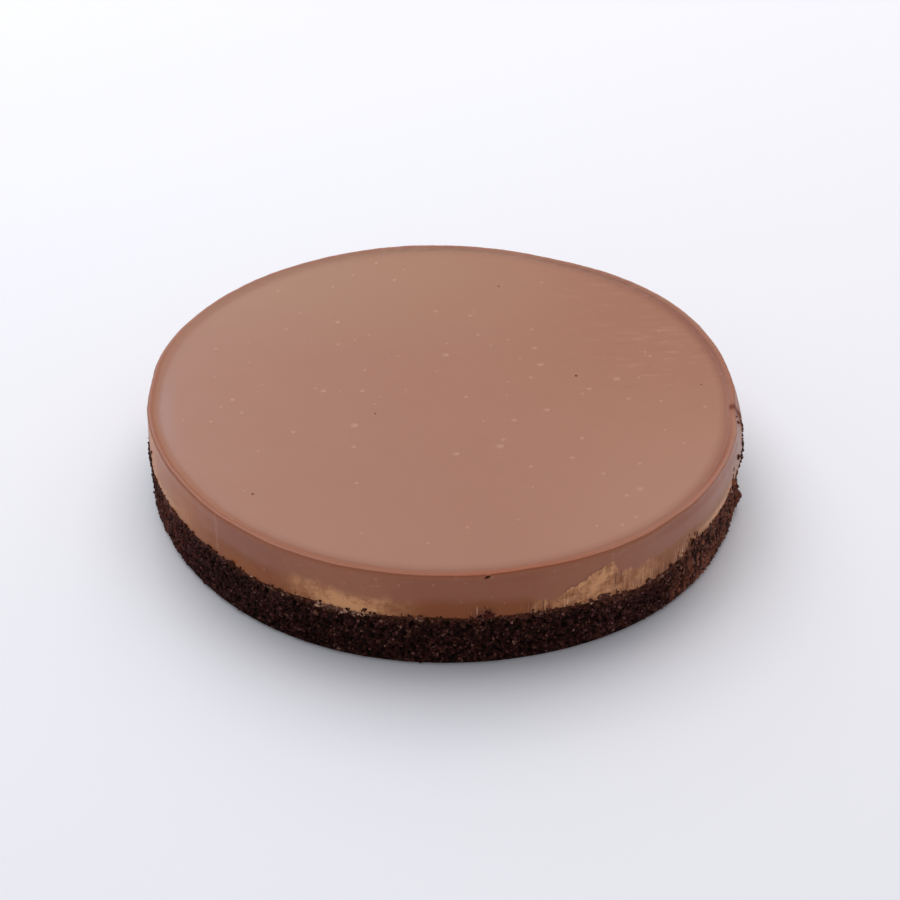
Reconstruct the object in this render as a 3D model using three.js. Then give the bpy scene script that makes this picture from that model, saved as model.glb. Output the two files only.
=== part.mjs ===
// A 9 inch milk chocolate layer cake: a crumbly dark chocolate sponge base under a set cream of
// milk chocolate. Both were put together in a steel ring, so the wall is upright. While it set,
// the cream clung to the ring and left a thin raised rim, with a hollow slope inside it.
// Millimetres, +Z up, origin in the middle of the underside.

import * as THREE from 'three';

// Driving dimensions
const RING_DIAMETER = 228.6;
const CAKE_HEIGHT = 39.4;
const SPONGE_HEIGHT = 19.8;
const LAYER_GAP = 0.3;

// Rim of the cream: how far its crest lies inside the wall, the rounding down to the wall, the
// hollow slope inside it, and how far it leans inwards at one bearing and outwards opposite
const RIM_INSET = 1.1;
const SHOULDER_DROP = 1.0;
const HOLLOW_WIDTH = 4.5;
const HOLLOW_DEPTH = 1.1;
const RIM_LEAN = 0.5;
const RIM_LEAN_BEARING = 350;

// Sponge: the foot is rounded in, and crumbs stand proud of the ring line
const FOOT_INSET = 1.0;
const FOOT_HEIGHT = 2.4;
const CRUMB_RELIEF = 0.55;
const SPONGE_PROUD = 0.2;

const RING_RADIUS = RING_DIAMETER / 2;
const SEGMENTS = 120;

// The outline isn't quite round, as the ring was a little out of true and the cake has settled.
// Each wave has its number of lobes, its size and the bearing of its first crest, in degrees.
const OUTLINE_WAVES = [
  { lobes: 2, size: 1.0, bearing: 112 },
  { lobes: 3, size: 0.7, bearing: 33 },
  { lobes: 4, size: 0.4, bearing: 45 },
  { lobes: 5, size: 0.4, bearing: 31 },
];

// The line between the layers, and the crest of the rim, rise and fall around the cake.
const LAYER_LINE_WAVES = [
  { lobes: 3, size: 0.35, bearing: 20 },
  { lobes: 7, size: 0.3, bearing: 5 },
  { lobes: 17, size: 0.25, bearing: 12 },
];
const RIM_WAVES = [
  { lobes: 2, size: 0.12, bearing: 70 },
  { lobes: 9, size: 0.08, bearing: 15 },
];

// Here and there the line between the layers stands higher or dips: bearing of the middle and half
// width, both in degrees, and size.
const LAYER_LINE_BUMPS = [
  { bearing: 214, width: 9, size: 0.9 },
  { bearing: 229, width: 9, size: 1.2 },
  { bearing: 246, width: 8, size: 0.4 },
  { bearing: 265, width: 8, size: 0.3 },
  { bearing: 280, width: 9, size: 0.7 },
  { bearing: 308.5, width: 8, size: -3.0 },
  { bearing: 322, width: 5, size: 2.3 },
  { bearing: 331, width: 6, size: 1.6 },
  { bearing: 342, width: 7, size: 2.5 },
  { bearing: 352, width: 6, size: 0.9 },
  { bearing: 40, width: 9, size: 1.4 },
  { bearing: 85, width: 6, size: -1.3 },
  { bearing: 128, width: 8, size: 1.2 },
  { bearing: 165, width: 7, size: -1.0 },
];

// Here and there the foot of the cream bulges out over the sponge.
const WALL_BULGES = [
  { bearing: 353.5, width: 7, size: 1.6 },
  { bearing: 185, width: 7, size: 0.4 },
];

// Clumps of crumb on the side of the sponge: bearing and height of the middle, spread, and how
// far they stand out.
const CLUMPS = [
  { bearing: 350, height: 5, spread: 6, proud: 3.8 },
  { bearing: 3, height: 13, spread: 6, proud: 1.4 },
  { bearing: 312, height: 17, spread: 6, proud: 0.7 },
  { bearing: 267, height: 12, spread: 6, proud: 1.0 },
  { bearing: 183, height: 13, spread: 6, proud: 1.4 },
  { bearing: 96, height: 11, spread: 7, proud: 1.2 },
];

const radians = THREE.MathUtils.degToRad;

function waveHeight(waves, angle) {
  let height = 0;
  for (const { lobes, size, bearing } of waves) {
    height += size * Math.cos(lobes * (angle - radians(bearing)));
  }
  return height;
}

// The turn from a bearing in degrees to an angle, from -PI to PI.
function turnFrom(bearing, angle) {
  const turn = angle - radians(bearing);
  return Math.atan2(Math.sin(turn), Math.cos(turn));
}

// 0 up to the start, 1 from the end, with a smooth rise between.
function rise(value, start, end) {
  return THREE.MathUtils.smoothstep(value, start, end);
}

function crumbRelief(angle, height) {
  const lumps = Math.sin(37 * angle + 0.9 * height) * Math.cos(23 * angle - 1.3 * height);
  const grains = Math.sin(61 * angle + 2.1 * height);
  let relief = CRUMB_RELIEF * (0.6 * lumps + 0.4 * grains);
  for (const { bearing, height: middle, spread, proud } of CLUMPS) {
    const away = Math.hypot(turnFrom(bearing, angle) * RING_RADIUS, height - middle) / spread;
    relief += proud * Math.exp(-away * away);
  }
  return relief;
}

// A turned body of the given profile of radius and height, whose points are then moved by
// shape(angle, radius, height), which gives the new radius and height.
function turnedBody(profile, shape) {
  const geometry = new THREE.LatheGeometry(profile, SEGMENTS);
  geometry.rotateX(Math.PI / 2);
  const position = geometry.getAttribute('position');
  for (let i = 0; i < position.count; i += 1) {
    const x = position.getX(i);
    const y = position.getY(i);
    const radius = Math.hypot(x, y);
    const angle = Math.atan2(y, x);
    const [newRadius, newHeight] = shape(angle, radius, position.getZ(i));
    position.setXYZ(i, newRadius * Math.cos(angle), newRadius * Math.sin(angle), newHeight);
  }
  geometry.computeVertexNormals();
  return geometry;
}

// The whole section grows and shrinks with the outline.
function outlined(angle, radius) {
  return radius * (1 + waveHeight(OUTLINE_WAVES, angle) / RING_RADIUS);
}

function bumpHeight(bumps, angle) {
  let height = 0;
  for (const { bearing, width, size } of bumps) {
    const away = turnFrom(bearing, angle) / radians(width);
    height += size * Math.exp(-away * away);
  }
  return height;
}

// How much a point follows the line between the layers: only near the side, and less and less
// above and below the line.
function layerLineShift(angle, radius, height) {
  const nearSide = rise(radius, 0.9 * RING_RADIUS, RING_RADIUS);
  const nearLine = 1 - rise(Math.abs(height - SPONGE_HEIGHT), 1, 12);
  const line = waveHeight(LAYER_LINE_WAVES, angle) + bumpHeight(LAYER_LINE_BUMPS, angle);
  return line * nearSide * nearLine;
}

// Radii at which the two faces between the layers have their points, so that the faces stay
// parallel.
const BETWEEN_LAYERS = [0, 60, 102, 105, 107.5, 109.5, 111.5, RING_RADIUS - 1];

function spongeGeometry() {
  const side = RING_RADIUS + SPONGE_PROUD;
  const profile = [new THREE.Vector2(0, 0), new THREE.Vector2(side - FOOT_INSET, 0)];
  const rows = 8;
  for (let row = 0; row < rows; row += 1) {
    const height = 0.7 + (SPONGE_HEIGHT - 1.4) * (row / (rows - 1));
    const inset = FOOT_INSET * (1 - rise(height, 0, FOOT_HEIGHT));
    profile.push(new THREE.Vector2(side - inset, height));
  }
  for (const radius of [...BETWEEN_LAYERS].reverse()) {
    profile.push(new THREE.Vector2(radius, SPONGE_HEIGHT));
  }
  return turnedBody(profile, (angle, radius, height) => {
    const onSide = rise(radius, RING_RADIUS - 1.6, RING_RADIUS) * rise(height, 0, FOOT_HEIGHT);
    const relief = onSide * crumbRelief(angle, height);
    return [outlined(angle, radius) + relief, height + layerLineShift(angle, radius, height)];
  });
}

function creamGeometry() {
  const underside = SPONGE_HEIGHT + LAYER_GAP;
  const crest = RING_RADIUS - RIM_INSET;
  const level = CAKE_HEIGHT - HOLLOW_DEPTH;
  const profile = BETWEEN_LAYERS.map((radius) => new THREE.Vector2(radius, underside));

  // Wall, from the underside up to the start of the shoulder
  const shoulder = CAKE_HEIGHT - SHOULDER_DROP;
  const wallRows = 5;
  for (let row = 0; row < wallRows; row += 1) {
    const height = underside + 0.5 + (shoulder - underside - 0.5) * (row / (wallRows - 1));
    profile.push(new THREE.Vector2(RING_RADIUS, height));
  }

  // Shoulder: a quarter round up to the crest
  const shoulderSteps = 4;
  for (let step = 1; step <= shoulderSteps; step += 1) {
    const turn = (step / shoulderSteps) * (Math.PI / 2);
    const radius = crest + RIM_INSET * Math.cos(turn);
    profile.push(new THREE.Vector2(radius, shoulder + SHOULDER_DROP * Math.sin(turn)));
  }

  // Hollow slope: steep by the crest and easing into the level top
  const hollowSteps = 6;
  for (let step = 1; step <= hollowSteps; step += 1) {
    const along = step / hollowSteps;
    const height = level + HOLLOW_DEPTH * (1 - along) ** 3;
    profile.push(new THREE.Vector2(crest - HOLLOW_WIDTH * along, height));
  }
  profile.push(new THREE.Vector2(60, level));
  profile.push(new THREE.Vector2(0, level));

  return turnedBody(profile, (angle, radius, height) => {
    const onRim = rise(radius, crest - HOLLOW_WIDTH, crest) * rise(height, shoulder - 4, shoulder);
    const lift = onRim * waveHeight(RIM_WAVES, angle);
    const lean = onRim * RIM_LEAN * Math.cos(angle - radians(RIM_LEAN_BEARING));
    const atWall = rise(radius, RING_RADIUS - 3, RING_RADIUS - 1);
    const bulge = atWall * (1 - 0.65 * rise(height, 22, 38)) * bumpHeight(WALL_BULGES, angle);
    const newHeight = height + lift + layerLineShift(angle, radius, height);
    return [outlined(angle, radius) + bulge - lean, newHeight];
  });
}

function spongeBase() {
  const crumb = new THREE.MeshStandardMaterial({ color: 0x2a1410, roughness: 0.85, metalness: 0 });
  const mesh = new THREE.Mesh(spongeGeometry(), crumb);
  mesh.name = 'sponge_base';
  return mesh;
}

function chocolateCream() {
  const cream = new THREE.MeshStandardMaterial({ color: 0xa07060, roughness: 0.4, metalness: 0 });
  const mesh = new THREE.Mesh(creamGeometry(), cream);
  mesh.name = 'chocolate_cream';
  return mesh;
}

const cake = new THREE.Group();
cake.add(spongeBase(), chocolateCream());

export default cake;
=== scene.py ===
from math import cos, hypot, pi, radians, sin
from random import Random

import bpy
from mathutils import Matrix, Vector
from mathutils.kdtree import KDTree


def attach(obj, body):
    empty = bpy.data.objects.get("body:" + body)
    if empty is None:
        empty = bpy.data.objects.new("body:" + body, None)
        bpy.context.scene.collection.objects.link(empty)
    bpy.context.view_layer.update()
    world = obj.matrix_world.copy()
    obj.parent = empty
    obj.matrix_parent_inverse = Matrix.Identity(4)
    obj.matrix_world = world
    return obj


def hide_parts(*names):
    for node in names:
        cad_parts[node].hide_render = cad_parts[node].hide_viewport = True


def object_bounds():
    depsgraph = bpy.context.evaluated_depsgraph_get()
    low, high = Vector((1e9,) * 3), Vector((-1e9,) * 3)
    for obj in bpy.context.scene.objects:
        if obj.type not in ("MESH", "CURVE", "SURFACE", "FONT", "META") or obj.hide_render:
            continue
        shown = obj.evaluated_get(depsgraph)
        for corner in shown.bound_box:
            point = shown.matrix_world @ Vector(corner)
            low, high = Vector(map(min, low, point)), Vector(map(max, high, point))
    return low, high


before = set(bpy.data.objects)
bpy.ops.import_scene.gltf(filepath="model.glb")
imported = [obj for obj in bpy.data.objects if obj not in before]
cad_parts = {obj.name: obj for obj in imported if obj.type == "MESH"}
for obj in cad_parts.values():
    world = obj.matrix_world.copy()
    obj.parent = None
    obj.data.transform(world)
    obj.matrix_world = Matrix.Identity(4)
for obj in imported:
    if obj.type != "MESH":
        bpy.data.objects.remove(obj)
cad_low, cad_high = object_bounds()
MM = 0.001


# Table, light and camera: a pale table that runs out of view, a large soft light over the back
# of the cake and two behind it, the right one warm, so that the front is lit mostly by the table.
# The camera stands in front of the cake and looks down on it.
def deselect_all():
    for thing in bpy.context.selected_objects:
        thing.select_set(False)


class Socket:
    """An output of a node, so that shader and geometry maths can be written as expressions."""

    def __init__(self, tree, output=None):
        self.tree = tree
        self.output = output

    def node(self, kind, settings=None, values=None, output=0):
        """Adds a node: its settings first, then the values or links of its inputs."""
        made = self.tree.nodes.new(kind)
        for name, value in (settings or {}).items():
            if name == "stops":
                set_stops(made.color_ramp, value)
            elif name == "points":
                set_points(made.mapping, value)
            else:
                setattr(made, name, value)
        for name, value in (values or {}).items():
            if isinstance(value, Socket):
                self.tree.links.new(value.output, made.inputs[name])
            else:
                made.inputs[name].default_value = value
        return Socket(self.tree, made.outputs[output]) if made.outputs else None

    def math(self, operation, *values):
        return self.node("ShaderNodeMath", {"operation": operation}, dict(enumerate(values)))

    def position(self):
        return self.node("GeometryNodeInputPosition")

    def vector_math(self, operation, values, output=0):
        return self.node("ShaderNodeVectorMath", {"operation": operation}, values, output)

    def __add__(self, other):
        return self.math("ADD", self, other)

    def __radd__(self, other):
        return self.math("ADD", other, self)

    def __sub__(self, other):
        return self.math("SUBTRACT", self, other)

    def __rsub__(self, other):
        return self.math("SUBTRACT", other, self)

    def __mul__(self, other):
        return self.math("MULTIPLY", self, other)

    def __rmul__(self, other):
        return self.math("MULTIPLY", other, self)

    def __truediv__(self, other):
        return self.math("DIVIDE", self, other)

    def __abs__(self):
        return self.math("ABSOLUTE", self)

    def rise(self, start, end):
        """0 up to the start and 1 from the end, with a smooth rise between."""
        values = {"Value": self, "From Min": start, "From Max": end}
        return self.node("ShaderNodeMapRange", {"interpolation_type": "SMOOTHSTEP"}, values)

    def toward(self, share, tint):
        """This colour, drawn by a share toward another one."""
        return mixed(share, self, tint)

    def within(self, start, full, fading, end):
        """1 from full to fading and 0 outside start and end, with smooth sides."""
        return self.rise(start, full) * (1 - self.rise(fading, end))


def mixed(share, first, second):
    """A colour between two: numbers are given as (red, green, blue) in linear values."""
    first, second = (tint if isinstance(tint, Socket) else (*tint, 1.0) for tint in (first, second))
    values = {"Factor": share, 6: first, 7: second}
    return share.node("ShaderNodeMix", {"data_type": "RGBA"}, values, output=2)


def set_stops(ramp, stops):
    while len(ramp.elements) < len(stops):
        ramp.elements.new(1.0)
    for element, (place, colour) in zip(ramp.elements, stops):
        element.position = place
        element.color = (*colour, 1.0)


def set_points(mapping, points):
    line = mapping.curves[0]
    while len(line.points) < len(points):
        line.points.new(1, 1)
    for point, place in zip(line.points, points):
        point.location = place
        point.handle_type = "AUTO_CLAMPED"
    mapping.update()


def colour(red, green, blue):
    """A colour given as it is seen, from 0 to 255, in the linear values that a node takes."""
    seen = (value / 255 for value in (red, green, blue))
    return tuple(v / 12.92 if v < 0.04045 else ((v + 0.055) / 1.055) ** 2.4 for v in seen)


def new_material(name):
    material = bpy.data.materials.new(name)
    material.use_nodes = True
    material.node_tree.nodes.clear()
    return material, Socket(material.node_tree)


def finish_material(nodes, values):
    surface = nodes.node("ShaderNodeBsdfPrincipled", {}, values)
    nodes.node("ShaderNodeOutputMaterial", {}, {"Surface": surface})


TABLE_SIZE = 8.0
bpy.context.scene.view_settings.view_transform = "Standard"

deselect_all()
bpy.ops.mesh.primitive_plane_add(size=TABLE_SIZE, location=(0, 0, cad_low.z))
table = bpy.context.object
table.name = "table"
white, shader = new_material("pale table")
finish_material(shader, {"Base Color": (*colour(242, 244, 251), 1), "Roughness": 0.6})
table.data.materials.append(white)


def soft_light(name, place, size, power, tint):
    bpy.ops.object.light_add(type="AREA", location=place)
    light = bpy.context.object
    light.name = name
    light.data.shape = "RECTANGLE"
    light.data.size, light.data.size_y = size
    light.data.energy = power
    light.data.color = tint
    aim = Vector((0, 0, cad_high.z)) - Vector(place)
    light.matrix_world = Matrix.Translation(place) @ aim.to_track_quat("-Z", "Y").to_matrix().to_4x4()


soft_light("light_over_back", (-0.2, 0.7, 1.6), (2.4, 1.6), 20, (1.0, 1.0, 1.0))
soft_light("light_behind_left", (-1.2, 2.5, 1.5), (2.0, 1.8), 20, (0.98, 0.98, 1.0))
soft_light("light_behind_right", (1.3, 2.5, 1.5), (2.2, 1.8), 12, (1.0, 0.74, 0.54))

world = bpy.data.worlds.new("studio")
bpy.context.scene.world = world
world.use_nodes = True
sky = world.node_tree.nodes["Background"].inputs
sky["Color"].default_value = (0.97, 0.97, 1.0, 1)
sky["Strength"].default_value = 0.42

CAMERA_PLACE = (-0.001, -0.767, 0.540)
LENS, SENSOR_WIDTH = 95.8, 36.0
LOOKS_DOWN = radians(34.5)
LOOKS_RIGHT = radians(0.22)
HEAD_TILT = radians(0.27)
bpy.ops.object.camera_add()
camera = bpy.context.object
camera.name = "camera"
camera.data.lens = LENS
camera.data.sensor_width = SENSOR_WIDTH
camera.data.clip_start = 0.01
camera.matrix_world = (
    Matrix.Translation(CAMERA_PLACE)
    @ Matrix.Rotation(-LOOKS_RIGHT, 4, "Z")
    @ Matrix.Rotation(pi / 2 - LOOKS_DOWN, 4, "X")
    @ Matrix.Rotation(HEAD_TILT, 4, "Z")
)
bpy.context.scene.camera = camera


# Milk chocolate cream: one closed body of set cream, poured over the sponge inside a ring and held
# by it. The ring's wall left it smooth and shiny, and it clung to that wall as it set, which left
# the thin raised rim and the hollow slope inside it. Its section is drawn and spun round.
RING_RADIUS = 114.3 * MM
CAKE_HEIGHT = 39.4 * MM
SPONGE_HEIGHT = 19.8 * MM
LAYER_GAP = 0.1 * MM
RIM_INSET = 1.1 * MM
RIM_LEAN, RIM_LEAN_BEARING = 0.5 * MM, 350
SHOULDER_DROP = 1.0 * MM
HOLLOW_WIDTH = 4.5 * MM
HOLLOW_DEPTH = 1.1 * MM
OUTLINE_WAVES = ((2, 1.0 * MM, 112), (3, 0.7 * MM, 33), (4, 0.4 * MM, 45), (5, 0.4 * MM, 31))
LAYER_LINE_WAVES = ((3, 0.35 * MM, 20), (7, 0.3 * MM, 5), (17, 0.25 * MM, 12))
LAYER_LINE_BUMPS = (
    (214, 9, 0.9 * MM), (229, 9, 1.2 * MM), (246, 8, 0.4 * MM), (265, 8, 0.3 * MM), (280, 9, 0.7 * MM),
    (308.5, 8, -3.0 * MM), (322, 5, 2.3 * MM), (331, 6, 1.6 * MM), (342, 7, 2.5 * MM), (352, 6, 0.9 * MM),
    (40, 9, 1.4 * MM), (85, 6, -1.3 * MM), (128, 8, 1.2 * MM), (165, 7, -1.0 * MM),
)
CRUMBLED_BY = 0.35 * MM
CRUMBLED_LINE = ((318, 16, 1.6), (340, 14, 0.8), (60, 20, 1.2), (150, 14, 1.0))
WALL_BULGES = ((353.5, 7, 1.6 * MM), (185, 7, 0.4 * MM))
RIM_NUDGES = ((315, 5, 0.5 * MM), (326, 5, 0.3 * MM), (285, 5, 0.35 * MM), (233, 7, 0.25 * MM))
TUCKS = ((354, 6, 1.9 * MM), (7, 10, 1.0 * MM), (21, 8, 0.8 * MM), (64, 12, 1.0 * MM), (177, 9, 1.1 * MM))
RIM_WAVES = ((2, 0.12 * MM, 70), (9, 0.08 * MM, 15))
LEVEL = CAKE_HEIGHT - HOLLOW_DEPTH
SHOULDER = CAKE_HEIGHT - SHOULDER_DROP
CREST = RING_RADIUS - RIM_INSET
CREAM_STEPS = 960
HIDDEN_GRID, TOP_GRID = (95 * MM, 120), (106 * MM, 360)
RIPPLE, FINE_RIPPLE, SEAM_STEP, TOP_SWELL = 0.16 * MM, 0.06 * MM, 0.15 * MM, 0.12 * MM
BOX_LOW = cad_low + Vector((0.04 * MM, 0.04 * MM, 0))
BOX_HIGH = cad_high - Vector((0.04 * MM, 0.04 * MM, 0.03 * MM))


def start_body(name, point):
    """A new mesh of one vertex, in edit mode."""
    deselect_all()
    bpy.ops.mesh.primitive_plane_add(size=MM, location=(0, 0, 0))
    body = bpy.context.object
    body.name = name
    bpy.ops.object.mode_set(mode="EDIT")
    bpy.ops.mesh.select_mode(type="VERT")
    bpy.ops.mesh.merge(type="CENTER")
    bpy.ops.transform.translate(value=(point[0], 0, point[1]))
    return body


def turn_section(name, section, steps):
    """The section's points, of radius and height, are drawn one by one and turned full circle."""
    body = start_body(name, section[0])
    for (radius, height), (next_radius, next_height) in zip(section, section[1:]):
        step = (next_radius - radius, 0, next_height - height)
        bpy.ops.mesh.extrude_region_move(TRANSFORM_OT_translate={"value": step})
    bpy.ops.object.mode_set(mode="OBJECT")
    bpy.ops.object.modifier_add(type="SCREW")
    turning = body.modifiers[-1]
    turning.steps = turning.render_steps = steps
    turning.use_merge_vertices = True
    turning.merge_threshold = 0.005 * MM
    bpy.ops.object.modifier_apply(modifier=turning.name)
    bpy.ops.object.mode_set(mode="EDIT")
    return body


def face_outward():
    bpy.ops.mesh.select_all(action="SELECT")
    bpy.ops.mesh.normals_make_consistent(inside=False)


def close_with_grid(height, radius, count):
    """Closes the open round edge at this height with an even grid of squares inside it."""
    aside = 0.2 * MM
    bpy.ops.mesh.select_all(action="DESELECT")
    bpy.ops.mesh.primitive_circle_add(vertices=count, radius=radius, location=(0, 0, height + aside))
    bpy.ops.mesh.select_non_manifold(extend=True, use_wire=True, use_multi_face=False,
                                     use_non_contiguous=False, use_verts=False)
    select_vertices(lambda place: abs(place.z - height) < 1.5 * aside, among_selected=True)
    bpy.ops.mesh.bridge_edge_loops()
    select_vertices(lambda place: abs(hypot(place.x, place.y) - radius) < 0.01 * MM
                    and abs(place.z - height) < 1.5 * aside)
    bpy.ops.transform.translate(value=(0, 0, -aside))
    bpy.ops.mesh.fill_grid(span=count // 4, use_interp_simple=True)


def select_vertices(test, among_selected=False):
    bpy.ops.object.mode_set(mode="OBJECT")
    mesh = bpy.context.object.data
    for part in (mesh.edges, mesh.polygons):
        part.foreach_set("select", [False] * len(part))
    for vertex in mesh.vertices:
        vertex.select = (vertex.select or not among_selected) and test(vertex.co)
    bpy.ops.object.mode_set(mode="EDIT")
    bpy.ops.mesh.select_mode(type="VERT")


def select_coarse_near(reach):
    """Selects the faces within this many sizes of a bubble that are too large to follow its shape."""
    bpy.ops.object.mode_set(mode="OBJECT")
    mesh = bpy.context.object.data
    for part in (mesh.vertices, mesh.edges):
        part.foreach_set("select", [False] * len(part))
    for face in mesh.polygons:
        _, number, away = near_bubble.find(face.center)
        size, width = bubbles[number][1], face.area ** 0.5
        face.select = away < reach * size + 0.7 * width and width > 0.33 * size
    bpy.ops.object.mode_set(mode="EDIT")
    bpy.ops.mesh.select_mode(type="FACE")


def reshape(body, name, build):
    """Runs a tree of geometry nodes on the body, inside the cake's box, and keeps the result."""
    tree = bpy.data.node_groups.new(name, "GeometryNodeTree")
    for direction in ("INPUT", "OUTPUT"):
        tree.interface.new_socket("Geometry", in_out=direction, socket_type="NodeSocketGeometry")
    nodes = Socket(tree)
    made = build(nodes, nodes.node("NodeGroupInput"))
    place = nodes.position()
    place = nodes.vector_math("MINIMUM", {0: place, 1: BOX_HIGH})
    place = nodes.vector_math("MAXIMUM", {0: place, 1: BOX_LOW})
    made = nodes.node("GeometryNodeSetPosition", {}, {"Geometry": made, "Position": place})
    nodes.node("NodeGroupOutput", {}, {"Geometry": made})
    select_only(body)
    bpy.ops.object.modifier_add(type="NODES")
    body.modifiers[-1].node_group = tree
    bpy.ops.object.modifier_apply(modifier=body.modifiers[-1].name)


def select_only(body):
    deselect_all()
    body.select_set(True)
    bpy.context.view_layer.objects.active = body


def place_parts(place):
    """x, y and z of a place, its distance from the middle line, and its bearing."""
    x, y, z = (place.node("ShaderNodeSeparateXYZ", {}, {"Vector": place}, output=n) for n in range(3))
    radius = place.math("POWER", x * x + y * y, 0.5)
    return x, y, z, radius, place.math("ARCTAN2", y, x)


def attribute(nodes, name):
    return nodes.node("ShaderNodeAttribute", {"attribute_name": name}, output="Fac")


def waves(bearing, lobes_sizes_bearings):
    """Even waves round the cake: how many lobes, their size, and the bearing of one crest."""
    total = 0.0
    for lobes, size, crest_bearing in lobes_sizes_bearings:
        total = size * bearing.math("COSINE", lobes * (bearing - radians(crest_bearing))) + total
    return total


def noise(place, wavelength, detail=2.0, roughness=0.5):
    """Smooth noise from about -1 to 1, of this wavelength."""
    values = {"Vector": place, "Scale": 1 / wavelength, "Detail": detail, "Roughness": roughness}
    return (place.node("ShaderNodeTexNoise", {}, values) - 0.5) * 2.5


def scaled(vector, x, y, z):
    return vector.vector_math("MULTIPLY", {0: vector, 1: (x, y, z)})


def outline_factor(bearing):
    """How many times as far out as the plain ring the cake's outline runs at this bearing."""
    return 1 + waves(bearing, OUTLINE_WAVES) / RING_RADIUS


def turn_from(bearing, degrees):
    return bearing.math("WRAP", bearing - radians(degrees), pi, -pi)


def bumps_at(bearing, middles_widths_sizes):
    """Smooth bumps round the cake: bearing and half width in degrees, and size."""
    total = 0.0
    for middle, width, size in middles_widths_sizes:
        away = turn_from(bearing, middle) / radians(width)
        total = size * bearing.math("EXPONENT", 0.0 - away * away) + total
    return total


def layer_line(bearing):
    """How far the line between sponge and cream runs above its even height."""
    x, y = (RING_RADIUS * bearing.math(part, bearing) for part in ("COSINE", "SINE"))
    around = bearing.node("ShaderNodeCombineXYZ", {}, {"X": x, "Y": y})
    crumbled = CRUMBLED_BY * (1 + bumps_at(bearing, CRUMBLED_LINE))
    crumbled = crumbled * noise(around, 5 * MM, 3.0, 0.6)
    return waves(bearing, LAYER_LINE_WAVES) + bumps_at(bearing, LAYER_LINE_BUMPS) + crumbled


def above_line(bearing, z):
    """Height over the line between sponge and cream, in millimetres."""
    return (z - SPONGE_HEIGHT - layer_line(bearing)) / MM


def layer_line_shift(bearing, radius, z):
    near_side = radius.rise(0.9 * RING_RADIUS, RING_RADIUS)
    near_line = 1 - abs(z - SPONGE_HEIGHT).rise(1 * MM, 12 * MM)
    return layer_line(bearing) * near_side * near_line


def set_place(geometry, x, y, z):
    spot = geometry.node("ShaderNodeCombineXYZ", {}, {"X": x, "Y": y, "Z": z})
    return geometry.node("GeometryNodeSetPosition", {}, {"Geometry": geometry, "Position": spot})


def store(geometry, name, value, domain="POINT"):
    settings = {"data_type": "FLOAT", "domain": domain}
    values = {"Geometry": geometry, "Name": name, "Value": value}
    return geometry.node("GeometryNodeStoreNamedAttribute", settings, values)


def cream_section():
    underside = SPONGE_HEIGHT + LAYER_GAP
    wall_foot = underside + 0.3 * MM
    points = [(RING_RADIUS - inset * MM, underside) for inset in (9, 4, 1.0, 0.3)]
    wall_rows, shoulder_rows, hollow_rows = 32, 7, 12
    for row in range(wall_rows):
        along = row / (wall_rows - 1)
        points.append((RING_RADIUS, wall_foot + (SHOULDER - wall_foot) * along))
    for row in range(1, shoulder_rows + 1):
        across, up = cos(row / shoulder_rows * pi / 2), sin(row / shoulder_rows * pi / 2)
        points.append((CREST + RIM_INSET * max(across, 0) ** 0.85, SHOULDER + SHOULDER_DROP * up ** 0.85))
    for row in range(1, hollow_rows + 1):
        along = row / hollow_rows
        fall = (1 - along) ** 3 * (1 + 3 * along)
        points.append((CREST - HOLLOW_WIDTH * along, LEVEL + HOLLOW_DEPTH * fall))
    return points


# Bubbles that burst as the cream set: place, size and depth. The clearest are listed, in millimetres on the
# top, and many small ones lie at random.
CLEAR_BUBBLES = (
    (67, 12, 1.7), (0, 29, 1.5), (-35, -21, 1.9), (20, -34, 1.7), (-47, 3, 1.3), (39, -10, 1.3),
    (35, 34, 1.3), (37, 22, 1.4), (-43, 53, 1.4), (56, 5, 1.2), (-4, 62, 1.1), (4, -39, 1.4),
    (31, -47, 1.0), (26, -17, 1.2), (-32, 3, 1.2), (-90, 33, 1.1), (-82, -3, 1.5), (70, -61, 1.5),
    (-29, 100, 1.1), (-32, -58, 1.0), (8, -1, 1.1), (51, -29, 1.1), (-68, 77, 1.2), (71, -2, 1.2),
)
PINHOLES = ((51, 14, 0.6), (22, 82, 0.5), (100, 8, 0.4), (-27, -13, 0.4), (-70, -66, 0.45))
random = Random(7)
bubbles = []
for pits, depth in ((CLEAR_BUBBLES, 0.12), (PINHOLES, 1.2)):
    for x, y, size in pits:
        bubbles.append((Vector((x * MM, y * MM, LEVEL)), size * MM, depth * size * MM))
SMALL_BUBBLES, SMALL_MARKS, TOP_REACH = 70, 26, 104 * MM
REFINED_REACHES = (1.5, 1.4, 1.3, 1.2)
for _ in range(SMALL_BUBBLES):
    reach, turn = TOP_REACH * random.random() ** 0.5, random.uniform(0, 2 * pi)
    size = random.uniform(0.5, 1.1) * MM
    bubbles.append((Vector((reach * cos(turn), reach * sin(turn), LEVEL)), size, 0.1 * size))

# Marks on the wall: bearing, height, size and depth. The first three make one long hole under
# the rim, and more lie at random.
WALL_MARKS = (
    (277.0, 38.2, 0.5, 1.7), (277.25, 38.35, 0.62, 1.7), (277.5, 38.5, 0.56, 1.7), (278.2, 38.1, 0.5, 0.2),
    (268, 35.5, 0.6, 0.2), (262, 34.6, 0.7, 0.2), (258, 36.0, 0.7, 0.2), (271.9, 38.5, 0.5, 0.2),
    (272.8, 27.7, 0.5, 0.25), (280.3, 26.1, 0.5, 0.25), (289.2, 36.7, 0.6, 0.2), (300.5, 37.1, 0.6, 0.25),
    (300.5, 35.8, 0.65, 0.25), (244, 35.0, 0.6, 0.2), (222, 30.0, 0.6, 0.2), (236, 26.5, 0.6, 0.25),
    (319, 33.0, 0.6, 0.2), (313.5, 38.0, 0.6, 0.2),
)


def on_ring(turn, height):
    return Vector((RING_RADIUS * cos(turn), RING_RADIUS * sin(turn), height * MM))


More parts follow.
